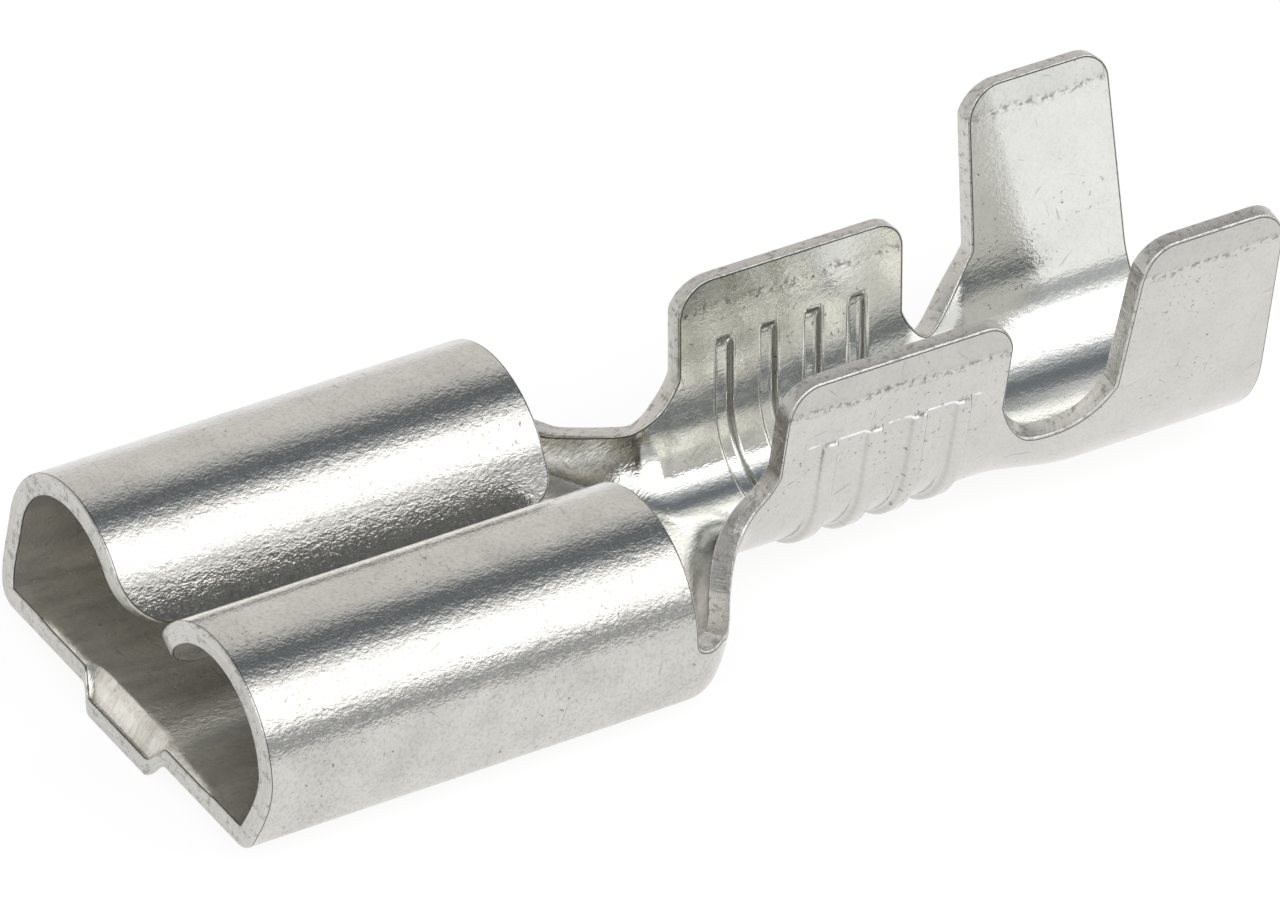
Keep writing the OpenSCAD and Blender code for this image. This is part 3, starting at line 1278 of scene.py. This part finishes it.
@dataclass(frozen=True)
class Pits:
    """Small pits in some cells of a Voronoi pattern.

    Attributes:
        scale: Cells per millimetre.
        least: Radius of the smallest pit, as a share of a cell.
        more: How much larger the largest one is.
        gain: Steepness of a pit's side.
        rarity: Share of the cells without a pit.
        stretch: How much closer the cells lie through the sheet.
    """

    scale: float = 4.2
    least: float = 0.04
    more: float = 0.08
    gain: float = 18.0
    rarity: float = 0.86
    stretch: float = 12.0

    def read(self, here: Place) -> Value:
        """1 inside a pit, or else 0.

        Args:
            here: The spot.

        Returns:
            The pit's strength.
        """
        wiring = here.wiring
        spot = wiring.vector(here.s, here.y, here.through * self.stretch)
        cells = wiring.add("ShaderNodeTexVoronoi", None, {"Vector": spot, "Scale": self.scale})
        far = Value(wiring, cells.outputs["Distance"])
        chance, size, _ = wiring.parts(cells.outputs["Color"])
        radius = self.least + size * self.more
        return ((radius - far) * self.gain).unit() * chance.over(self.rarity)


@dataclass(frozen=True)
class Scratches:
    """Thin short scratches in a few directions.

    Attributes:
        directions: Their angles from the strip's width, in degrees.
        length: Scratches per millimetre along their own direction.
        width: Scratches per millimetre across it.
        through: Change through the sheet.
        shift: Distance in the noise from one direction to the next.
        marks: The noise that they come from.
    """

    directions: tuple[float, ...] = (12.0, 67.0, 131.0)
    length: float = 1.6
    width: float = 19.0
    through: float = 9.0
    shift: float = 7.3
    marks: Marks = Marks(Noise(1.0, 2.0, 0.5), 0.715, 22.0)

    def read(self, here: Place) -> Value:
        """1 on a scratch, or else 0.

        Args:
            here: The spot.

        Returns:
            The scratch's strength.
        """
        found = here.through * 0.0
        for number, degrees in enumerate(self.directions):
            turn = math.radians(degrees)
            along = here.s * math.cos(turn) + here.y * math.sin(turn)
            aside = here.y * math.cos(turn) - here.s * math.sin(turn)
            layer = here.through * self.through + self.shift * number
            level = self.marks.noise.at(here.wiring, along * self.length, aside * self.width, layer)
            found = found + self.marks.strength(level)
        return found.unit()


@dataclass(frozen=True)
class TipBand:
    """The band along the ears' tips that the tool pressed, with scuffs along its border.

    Attributes:
        width: Distance of the border below the tips.
        gain: Steepness of the border.
        wander: The noise that the scuffs stray by.
        stray: How far they stray, in millimetres.
        patches: What breaks the line of scuffs up.
        core: Strength of the scuffs at their middle, before it is held at 1.
        fade: How fast they fade from there, per millimetre.
    """

    width: float = 0.5
    gain: float = 25.0
    wander: Noise = Noise(1.1, 3.0, 0.6)
    stray: float = 0.35
    patches: Marks = Marks(Noise(9.0, 2.0, 0.7), 0.48, 9.0)
    core: float = 1.1
    fade: float = 10.0

    def band(self, here: Place) -> Value:
        """1 in the band, or else 0."""
        return ((self.width - here.below_tip()) * self.gain).unit()

    def scuffs(self, here: Place) -> Value:
        """1 on a scuff along the border, or else 0.

        Args:
            here: The spot.

        Returns:
            The scuff's strength.
        """
        stray = (self.wander.read(here) - 0.5) * self.stray
        off = abs(here.below_tip() - self.width - stray)
        return (self.core - off * self.fade).unit() * self.patches.read(here)


@dataclass(frozen=True)
class PaintedReflection:
    """A painted reflection: the front part of one insulation ear's inner face, painted darker as the dark
    reflection that lies there.

    Attributes:
        width: Its width at the tip.
        slope: How much wider it gets for each millimetre below the tip.
        gain: Steepness of its border.
    """

    width: float = 0.4
    slope: float = 0.24
    gain: float = 9.0

    def read(self, here: Place) -> Value:
        """1 where the painted reflection lies, or else 0.

        Args:
            here: The spot.

        Returns:
            The part's strength.
        """
        border = here.below_tip() * self.slope + here.blank.ins_y + self.width
        ear = here.past_notch * (-here.s).over(here.blank.shoulder.neck_half)
        return ((border - here.y) * self.gain).unit() * ear


@dataclass(frozen=True)
class PaintedHighlightLine:
    """A painted highlight: a near-white line that joins the serrations' ends on the outer face.

    Attributes:
        colour: Its colour.
        offset: Its distance above the serrations' ends.
        core: Strength at its middle, before it is held at 1.
        fade: How fast it fades sideways, per millimetre.
        end_gain: Steepness of its two ends.
        breaks: What breaks it up.
        roughness: What it adds to the roughness.
        scatter: Share of it that scatters instead of mirroring.
    """

    colour: Colour = (0.97, 0.97, 0.96, 1.0)
    offset: float = 0.03
    core: float = 1.5
    fade: float = 50.0
    end_gain: float = 12.0
    breaks: Marks = Marks(Noise(3.5, 3.0, 0.7), 0.4, 9.0)
    roughness: float = 0.3
    scatter: float = 0.8

    def read(self, here: Place) -> Value:
        """1 on the line, or else 0.

        Args:
            here: The spot.

        Returns:
            The line's strength.
        """
        size = here.size
        reach = size["Serration count"] * size["Serration pitch"] / 2
        along = ((reach - abs(here.y - size["Serration centre"])) * self.end_gain).unit()
        off = abs(abs(here.s) - size["Serration reach"] - self.offset)
        aside = (self.core - off * self.fade).unit()
        return along * aside * self.breaks.read(here) * here.outer


@dataclass(frozen=True)
class DirtAndShade:
    """Dark marks and painted shade: their colour, and how much of it each kind gets.

    Attributes:
        colour: Colour of all of them.
        pits: Share in the pits.
        scuffs: Share in the scuffs of handling.
        scratches: Share in the scratches.
        tool: Share in the tool's scuffs along the tips' band.
        wall_shade: Painted shade along the serrations' sides, on the outer face.
        inner_wall_shade: The painted shade that these sides get more on the inner face.
        chips: Share in the chips of the sheared edges.
        roughness: What a mark adds to the roughness.
        clusters: Where scuffs of handling gather.
        strokes: The scuffs themselves.
        edge_chips: The chips of the sheared edges.
    """

    colour: Colour = (0.16, 0.15, 0.13, 1.0)
    pits: float = 0.8
    scuffs: float = 0.85
    scratches: float = 0.35
    tool: float = 0.6
    wall_shade: float = 0.15
    inner_wall_shade: float = 0.45
    chips: float = 0.5
    roughness: float = 0.25
    clusters: Marks = Marks(Noise(0.5, 2.0, 0.5), 0.51, 9.0)
    strokes: Marks = Marks(Noise(9.0, 3.0, 0.75), 0.62, 16.0)
    edge_chips: Marks = Marks(Noise(7.5, 3.0, 0.7, (1.0, 1.0, 1.0)), 0.54, 9.0)

    def read(self, here: Place, pits: Value, scratches: Value, tool: Value) -> Value:
        """Adds the kinds up.

        Args:
            here: The spot.
            pits: 1 inside a pit.
            scratches: 1 on a scratch.
            tool: 1 on a scuff of the tool.

        Returns:
            The share of dirt and painted shade at the spot, from 0 to 1.
        """
        return (
            pits * self.pits
            + self.strokes.read(here) * self.clusters.read(here) * self.scuffs
            + scratches * self.scratches
            + tool * self.tool
            # painted shade: the serrations' slanted sides take the dark colour, more on the inner face
            + self.groove_wall_shade(here) * (self.wall_shade + here.inner * self.inner_wall_shade)
            + self.edge_chips.read(here) * here.edge * self.chips
        ).unit()

    @staticmethod
    def groove_wall_shade(here: Place) -> Value:
        """Painted shade along the slanted sides of the serrations: 1 halfway down, 0 off them."""
        share = Press.groove(here.size, abs(here.s), here.y) / here.size["Serration depth"]
        return (share * (1.0 - share) * 4.0).power(2.0)


@dataclass(frozen=True)
class Shade:
    """How much each kind of place darkens the plate's colour, painted shade and a painted reflection among
    them.

    Attributes:
        worn: Worn patches.
        grit: Fine specks.
        band: The pressed band along the ears' tips.
        rim: Painted shade: a dark outline along the round between a face and a sheared edge.
        deep_streaks: Darker streaks deep in the receptacle.
        painted_reflection: The painted reflection, darker, on one insulation ear.
    """

    worn: float = 0.12
    grit: float = 0.16
    band: float = 0.1
    rim: float = 0.9
    deep_streaks: float = 0.25
    painted_reflection: float = 0.13


@dataclass(frozen=True)
class Relief:
    """The plate's fine relief, with heights in micrometres.

    Attributes:
        grain: Height of the fine grain.
        grain_noise: Its noise.
        ripple: Height of the wider ripple.
        ripple_noise: Its noise.
        shear: Height of the marks on sheared edges.
        shear_noise: Their noise, in long streaks through the sheet.
        pit: Depth of a pit.
        forming: Height of the forming tool's mark.
        forming_y: Distance of that mark from the mouth, in millimetres.
        forming_width: Width of its step, in millimetres.
        forming_end: Distance from the mouth where it starts to fade, in millimetres.
    """

    grain: float = 9.0
    grain_noise: Noise = Noise(1.0, 2.0, 0.7, (13.0, 8.0, 60.0))
    ripple: float = 2.2
    ripple_noise: Noise = Noise(1.0, 2.0, 0.5, (4.0, 1.6, 20.0))
    shear: float = 16.0
    shear_noise: Noise = Noise(1.0, 3.0, 0.6, (9.0, 9.0, 1.2))
    pit: float = 2.4
    forming: float = 1.6
    forming_y: float = 0.62
    forming_width: float = 0.05
    forming_end: float = 2.0

    def height(self, here: Place, coarse: Value, pits: Value) -> Value:
        """Adds the relief up.

        Args:
            here: The spot.
            coarse: Share of the grain that the spot has.
            pits: 1 inside a pit.

        Returns:
            The height, in micrometres.
        """
        grain = (self.grain_noise.read(here) - 0.5) * coarse * self.grain
        ripple = (self.ripple_noise.read(here) - 0.5) * self.ripple
        step = ((here.y - self.forming_y) / self.forming_width).ease()
        step = step * (1.0 - (here.y - self.forming_end).unit()) * self.forming
        shear = here.edge * (self.shear_noise.read(here) - 0.5) * self.shear
        return grain + ripple + step - pits * self.pit + shear


@dataclass(frozen=True)
class TinPlate:
    """Bright tin over brass, with the marks of stamping and handling, and with painted light and shade.

    Attributes:
        outside: Colour of the sheet's outer face.
        inside: Colour of its inner face in the barrels, painted lighter than the outer face as painted
            light there.
        deep: Colour of its inner face in the receptacle, painted lighter and yellower as painted light
            bounced inside it.
        deep_metal: Share of the receptacle's inside that mirrors, where the rest scatters.
        roughness: Roughness of the outer face.
        deep_roughness: Roughness of the receptacle's inside.
        worn_roughness: Difference in roughness between worn and bright patches.
        edge_roughness: What a sheared edge adds to the roughness.
        ear_grain: Share of the grain and specks that the flat ears have.
        worn: Worn patches.
        grit: Fine specks.
        deep_streaks: Darker streaks that run along the receptacle's inside.
        shade: How dark each kind of place is.
        relief: The fine relief.
        dirt_and_shade: The dark marks, with painted shade along the serrations' sides.
        pits: The pits.
        scratches: The scratches.
        tip_band: The band along the ears' tips.
        painted_reflection: The painted reflection on one insulation ear.
        highlight_line: The painted highlight line at the serrations.
    """

    outside: Colour = (0.66, 0.645, 0.61, 1.0)
    inside: Colour = (0.81, 0.81, 0.775, 1.0)
    deep: Colour = (0.86, 0.835, 0.765, 1.0)
    deep_metal: float = 0.78
    roughness: float = 0.13
    deep_roughness: float = 0.24
    worn_roughness: float = 0.06
    edge_roughness: float = 0.15
    ear_grain: float = 0.45
    worn: Marks = Marks(Noise(1.3, 5.0, 0.65), 0.353, 3.4)
    grit: Marks = Marks(Noise(17.0, 2.0, 0.75), 0.47, 5.0)
    deep_streaks: Marks = Marks(Noise(1.0, 4.0, 0.6, (2.6, 0.7, 1.0)), 0.4, 4.0)
    shade: Shade = Shade()
    relief: Relief = Relief()
    dirt_and_shade: DirtAndShade = DirtAndShade()
    pits: Pits = Pits()
    scratches: Scratches = Scratches()
    tip_band: TipBand = TipBand()
    painted_reflection: PaintedReflection = PaintedReflection()
    highlight_line: PaintedHighlightLine = PaintedHighlightLine()

    def material(self, press: Press) -> bpy.types.Material:
        """Builds the material.

        Args:
            press: The press, whose sizes tell where its marks lie.

        Returns:
            The material.
        """
        material = bpy.data.materials.new("tin plate")
        material.use_nodes = True
        material.node_tree.nodes.clear()
        wiring = Wiring(material.node_tree)
        here = Place(wiring, press)
        into = (here.y - here.size["Shoulder start"]) / here.size["Shoulder length"]
        deep = here.inner * (1.0 - into.ease())
        coarse = blend(1.0, self.ear_grain, here.past_neck)
        worn = self.worn.read(here)
        # painted highlight: a near-white line along the serrations' ends
        painted_highlight = self.highlight_line.read(here)
        pits = self.pits.read(here)
        scuffs = self.tip_band.scuffs(here)
        dirt_and_shade = self.dirt_and_shade.read(here, pits, self.scratches.read(here), scuffs) * (1.0 - painted_highlight)

        roughness = blend(self.roughness, self.deep_roughness, deep) + (worn - 0.5) * self.worn_roughness
        roughness = roughness + dirt_and_shade * self.dirt_and_shade.roughness + here.edge * self.edge_roughness
        roughness = roughness + painted_highlight * self.highlight_line.roughness
        bump = wiring.add(
            "ShaderNodeBump",
            None,
            {"Strength": 1.0, "Distance": 1e-6, "Height": self.relief.height(here, coarse, pits)},
        )
        plate = wiring.add(
            "ShaderNodeBsdfPrincipled",
            None,
            {
                "Metallic": 1.0 - deep * (1.0 - self.deep_metal) - painted_highlight * self.highlight_line.scatter,
                "Base Color": self.colour(here, deep, worn, coarse, dirt_and_shade, painted_highlight),
                "Roughness": roughness.unit(),
                "Normal": bump.outputs[0],
            },
        )
        wiring.add("ShaderNodeOutputMaterial", None, {0: plate.outputs[0]})
        return material

    def colour(
        self, here: Place, deep: Value, worn: Value, coarse: Value, dirt_and_shade: Value, painted_highlight: Value
    ) -> bpy.types.NodeSocket:
        """Mixes the plate's colour.

        Args:
            here: The spot.
            deep: 1 deep in the receptacle.
            worn: 1 on worn patches.
            coarse: Share of the grain that the spot has.
            dirt_and_shade: Share of dirt, and of painted shade along the serrations' sides.
            painted_highlight: 1 on the painted highlight line.

        Returns:
            The colour.
        """
        wiring = here.wiring
        # painted light: the inner faces take lighter colours than the outer face, the receptacle's a
        # yellower one
        colour = wiring.mix_colours(here.inner, self.outside, self.inside)
        colour = wiring.mix_colours(deep, colour, self.deep)
        # painted shade: a dark outline along the round between each face and its sheared edge
        rim = here.edge * (1.0 - here.edge) * 4.0
        shade = 1.0 - worn * self.shade.worn * coarse - self.grit.read(here) * coarse * self.shade.grit
        shade = shade - self.tip_band.band(here) * self.shade.band
        shade = shade * (1.0 - rim * self.shade.rim)
        shade = shade * (1.0 - deep * self.deep_streaks.read(here) * self.shade.deep_streaks)
        # painted reflection: the front of one insulation ear's inner face is painted darker
        shade = shade * (1.0 - self.painted_reflection.read(here) * here.inner * self.shade.painted_reflection)
        grey = wiring.vector(shade, shade, shade)
        colour = wiring.mix_colours(1.0, colour, grey, Mixing.MULTIPLY)
        # dirt, with painted shade along the serrations' sides
        colour = wiring.mix_colours(dirt_and_shade, colour, self.dirt_and_shade.colour)
        # painted highlight: the line at the serrations' ends is painted near white
        return wiring.mix_colours(painted_highlight, colour, self.highlight_line.colour)


# ---------------------------------------------------------------- the part


@dataclass
class Terminal:
    """The whole part: one sheet.

    Attributes:
        blank: The flat blank.
        coining: The ears' bevels.
        finish: The plate.
        node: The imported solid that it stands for.
    """

    blank: Blank = Blank()
    coining: Coining = Coining()
    finish: TinPlate = TinPlate()
    node: str = "terminal"

    def build(self) -> bpy.types.Object:
        """Cuts, folds and dresses the sheet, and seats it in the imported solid's box.

        Returns:
            The finished piece.
        """
        flat = self.blank.mesh()
        mesh = bpy.data.meshes.new("flat blank")
        mesh.from_pydata(flat.points.tolist(), [], flat.faces)
        edge = mesh.attributes.new("edge", "FLOAT", "POINT")
        edge.data.foreach_set("value", flat.edge.astype(np.float32))
        piece = bpy.data.objects.new("tin_plated_sheet", mesh)
        bpy.context.scene.collection.objects.link(piece)
        low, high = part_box(self.node)
        mouth = low.y / MM + self.blank.receptacle.lip_out
        press = Press(self.blank, self.coining, mouth, low.z / MM)
        press.fold(piece, self.finish.material(press))
        self.seat(piece.data, low, high)
        return piece

    @staticmethod
    def seat(mesh: bpy.types.Mesh, low: Vector, high: Vector) -> None:
        """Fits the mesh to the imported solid's box, which flat facets make a little smaller.

        Args:
            mesh: The folded sheet.
            low: The box's lowest corner.
            high: The box's highest corner.
        """
        points = np.zeros(len(mesh.vertices) * 3, np.float32)
        mesh.vertices.foreach_get("co", points)
        points = points.reshape(-1, 3)
        least, most = Vector(points.min(axis=0)), Vector(points.max(axis=0))
        grow = [(h - l) / (b - a) for l, h, a, b in zip(low, high, least, most)]
        LOG.info("the folded sheet fits the solid's box at %s", [round(g, 5) for g in grow])
        move = Matrix.Translation(low) @ Matrix.Diagonal((*grow, 1.0)) @ Matrix.Translation(-least)
        mesh.transform(move)

    def dress(self, piece: bpy.types.Object) -> None:
        """Hangs the piece under the root body's empty, and hides the imported solid that it stands for.

        Args:
            piece: The finished sheet.
        """
        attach(piece, "root")
        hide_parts(self.node)


# ---------------------------------------------------------------- studio


@dataclass(frozen=True)
class Tent:
    """The light tent: a vault of cloth along the part, lit in strips.

    Attributes:
        strips: Angle round the part in degrees, level of light, and warmth of each strip's
            middle. Angle 0 is straight above, and the angles rise towards +X.
        strength: Brightness of a strip of level 2.
        seen: Brightness of the ground that the camera sees behind the part.
    """

    strips: tuple[tuple[float, float, float], ...] = (
        (-180, 0.8, 0.0), (-95, 0.85, 0.02), (-40, 0.84, 0.02), (-28, 0.68, 0.0), (-15, 0.22, -0.08),
        (-3, 0.17, -0.1), (8, 0.42, -0.06), (17, 1.1, 0.0), (26, 1.95, 0.0), (58, 1.95, 0.0),
        (68, 0.85, -0.01), (78, 0.42, -0.04), (88, 0.6, -0.01), (98, 0.97, 0.0), (180, 0.9, 0.0),
    )
    strength: float = 2.0
    seen: float = 1.0

    def stops(self) -> list[tuple[float, Colour]]:
        """The strips as a ramp's stops, which go from 0 to 1 round the part.

        Returns:
            Pairs of place and colour.
        """
        return [
            (0.5 + angle / 360, (level * (1 + warm) / 2, level / 2, level * (1 - warm) / 2, 1.0))
            for angle, level, warm in self.strips
        ]

    def hang(self) -> None:
        """Makes the scene's world."""
        world = bpy.data.worlds.new("light tent")
        world.use_nodes = True
        world.node_tree.nodes.clear()
        bpy.context.scene.world = world
        wiring = Wiring(world.node_tree)
        toward = wiring.add("ShaderNodeTexCoord").outputs["Generated"]
        x, _, z = wiring.parts(toward)
        round_part = wiring.maths("ARCTAN2", x, z) / (2 * math.pi) + 0.5
        ramp = wiring.add("ShaderNodeValToRGB", {"stops": self.stops()}, {0: round_part})
        lit = {"Color": ramp.outputs[0], "Strength": self.strength}
        tent = wiring.add("ShaderNodeBackground", None, lit)
        white = wiring.add("ShaderNodeBackground", None, {"Color": WHITE, "Strength": self.seen})
        seen = wiring.add("ShaderNodeLightPath").outputs["Is Camera Ray"]
        both = wiring.add("ShaderNodeMixShader", None, {0: seen, 1: tent.outputs[0], 2: white.outputs[0]})
        wiring.add("ShaderNodeOutputWorld", None, {0: both.outputs[0]})


@dataclass(frozen=True)
class Floor:
    """The white floor under the part.

    Attributes:
        width: Its width, in metres.
        cloth: Colour of the cloth that scatters light.
        glow: Brightness of the floor's own light, which keeps it white.
        glow_share: How much of that light the camera and the mirroring plate see.
    """

    width: float = 4.0
    cloth: Colour = (0.9, 0.9, 0.9, 1.0)
    glow: float = 1.07
    glow_share: float = 0.8

    def lay(self) -> bpy.types.Object:
        """Makes the floor, at the height of the part's lowest point.

        Returns:
            The floor.
        """
        half, z = self.width / 2, CAD_BOX[0].z
        corners = [(-half, -half, z), (half, -half, z), (half, half, z), (-half, half, z)]
        mesh = bpy.data.meshes.new("floor")
        mesh.from_pydata(corners, [], [(0, 1, 2, 3)])
        floor = bpy.data.objects.new("floor", mesh)
        bpy.context.scene.collection.objects.link(floor)
        mesh.materials.append(self.material())
        return floor

    def material(self) -> bpy.types.Material:
        """Builds the material, which glows for the camera and scatters light for the rest.

        Returns:
            The material.
        """
        material = bpy.data.materials.new("white floor")
        material.use_nodes = True
        material.node_tree.nodes.clear()
        wiring = Wiring(material.node_tree)
        path = wiring.add("ShaderNodeLightPath")
        rays = ("Camera", "Glossy", "Transmission")
        seen = [Value(wiring, path.outputs[f"Is {ray} Ray"]) for ray in rays]
        share = (seen[0] + seen[1] + seen[2]).unit() * self.glow_share
        cloth = wiring.add("ShaderNodeBsdfDiffuse", None, {"Color": self.cloth})
        white = wiring.add("ShaderNodeEmission", None, {"Color": WHITE, "Strength": self.glow})
        both = wiring.add("ShaderNodeMixShader", None, {0: share, 1: cloth.outputs[0], 2: white.outputs[0]})
        wiring.add("ShaderNodeOutputMaterial", None, {0: both.outputs[0]})
        return material


@dataclass(frozen=True)
class Studio:
    """Floor, light and camera.

    Attributes:
        azimuth: The camera's angle round the part, in degrees from looking along +Y.
        elevation: Its angle above the floor, in degrees.
        roll: Its turn about its own axis, in degrees.
        distance: Its distance from the target, in metres.
        lens: Focal length, in millimetres.
        sensor: Width of the sensor, in millimetres.
        clip: Nearest and furthest distance that the camera sees, in metres.
        aim: The target's place from the centre of the part's box, in metres.
        tent: The light.
        floor: The floor.
    """

    azimuth: float = 55.402
    elevation: float = 35.621
    roll: float = 3.873
    distance: float = 0.1922
    lens: float = 355.16
    sensor: float = 36.0
    clip: tuple[float, float] = (0.01, 20.0)
    aim: tuple[float, float, float] = (-0.00059, -0.000194, -0.000775)
    tent: Tent = Tent()
    floor: Floor = Floor()

    def camera(self) -> None:
        """Makes the scene's camera."""
        data = bpy.data.cameras.new("camera")
        data.lens = self.lens
        data.sensor_width = self.sensor
        data.clip_start, data.clip_end = self.clip
        camera = bpy.data.objects.new("camera", data)
        centre = (CAD_BOX[0] + CAD_BOX[1]) / 2
        turn = (
            Matrix.Rotation(math.radians(self.azimuth), 4, "Z")
            @ Matrix.Rotation(math.radians(90 - self.elevation), 4, "X")
            @ Matrix.Rotation(math.radians(self.roll), 4, "Z")
        )
        target = Matrix.Translation(centre + Vector(self.aim))
        camera.matrix_world = target @ turn @ Matrix.Translation((0, 0, self.distance))
        bpy.context.scene.collection.objects.link(camera)
        bpy.context.scene.camera = camera

    def build(self) -> None:
        """Sets the whole stage."""
        self.camera()
        self.tent.hang()
        self.floor.lay()
        bpy.context.scene.view_settings.view_transform = "Standard"


def main() -> None:
    """Builds the part on its stage, and reports it."""
    logging.basicConfig(level=logging.INFO, format="%(message)s")
    Studio().build()
    terminal = Terminal()
    piece = terminal.build()
    terminal.dress(piece)
    LOG.info("%s: %d faces", piece.name, len(piece.data.polygons))


if __name__ == "__main__":
    main()
